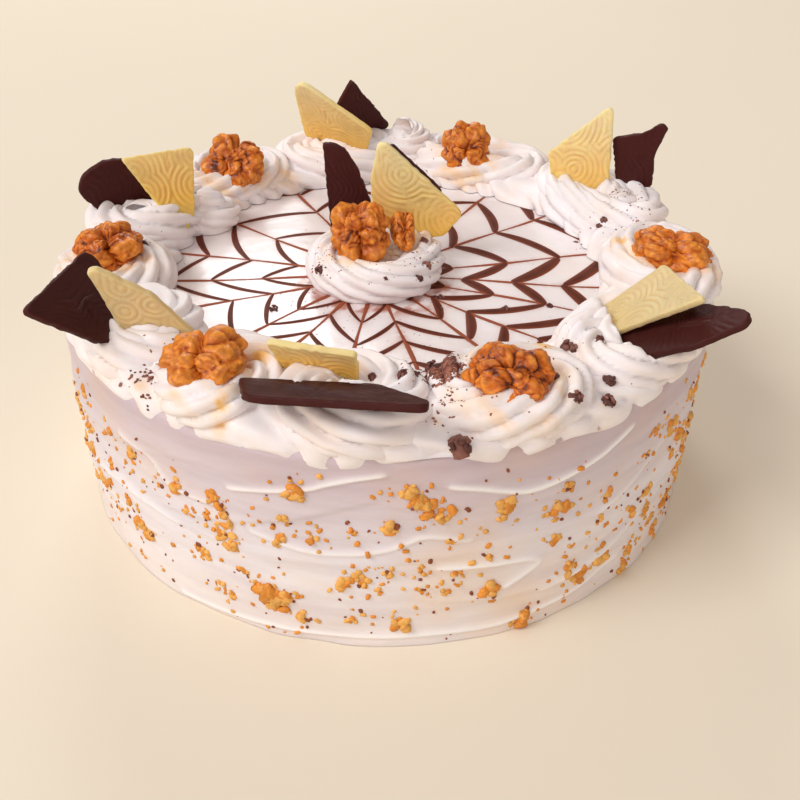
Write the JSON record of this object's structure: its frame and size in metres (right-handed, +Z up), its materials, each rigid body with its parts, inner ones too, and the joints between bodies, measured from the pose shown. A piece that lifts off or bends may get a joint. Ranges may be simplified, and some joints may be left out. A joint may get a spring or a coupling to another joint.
{
  "type": "esterhazy torte",
  "caption": "Whole iced round torte with a marbled fondant top, a piped cream border and rosette, walnut halves, dark and white chocolate shards and chopped nuts on its side.",
  "frame": {"origin": "centre of the cake's flat base", "axes": "+Z up through the cake, -Y towards the front, +X to the right"},
  "size_m": [0.2507, 0.2597, 0.129],
  "materials": {
    "icing": "matte",
    "fondant": "gloss",
    "cream": "satin",
    "walnut": "satin",
    "dark_chocolate": "satin",
    "white_chocolate": "satin"
  },
  "bodies": {
    "root": {"cake": "icing", "fondant_top": "fondant", "rosette_centre": "cream", "shard_a_dark": "dark_chocolate", "shard_a_white": "white_chocolate", "shard_b_dark": "dark_chocolate", "shard_b_white": "white_chocolate", "shard_c_dark": "dark_chocolate", "shard_c_white": "white_chocolate", "shard_d_dark": "dark_chocolate", "shard_d_white": "white_chocolate", "shard_e_dark": "dark_chocolate", "shard_e_white": "white_chocolate", "shard_f_dark": "dark_chocolate", "shard_f_white": "white_chocolate", "shard_g_dark": "dark_chocolate", "shard_g_dark_behind": "dark_chocolate", "shard_g_white": "white_chocolate", "swirl_shard_a": "cream", "swirl_shard_b": "cream", "swirl_shard_c": "cream", "swirl_shard_d": "cream", "swirl_shard_e": "cream", "swirl_shard_f": "cream", "swirl_walnut_back_left": "cream", "swirl_walnut_back_right": "cream", "swirl_walnut_front_left": "cream", "swirl_walnut_front_right": "cream", "swirl_walnut_left": "cream", "swirl_walnut_right": "cream", "walnut_back_left": "walnut", "walnut_back_right": "walnut", "walnut_centre": "walnut", "walnut_front_left": "walnut", "walnut_front_right": "walnut", "walnut_left": "walnut", "walnut_piece": "walnut", "walnut_right": "walnut"}
  },
  "joints": []
}
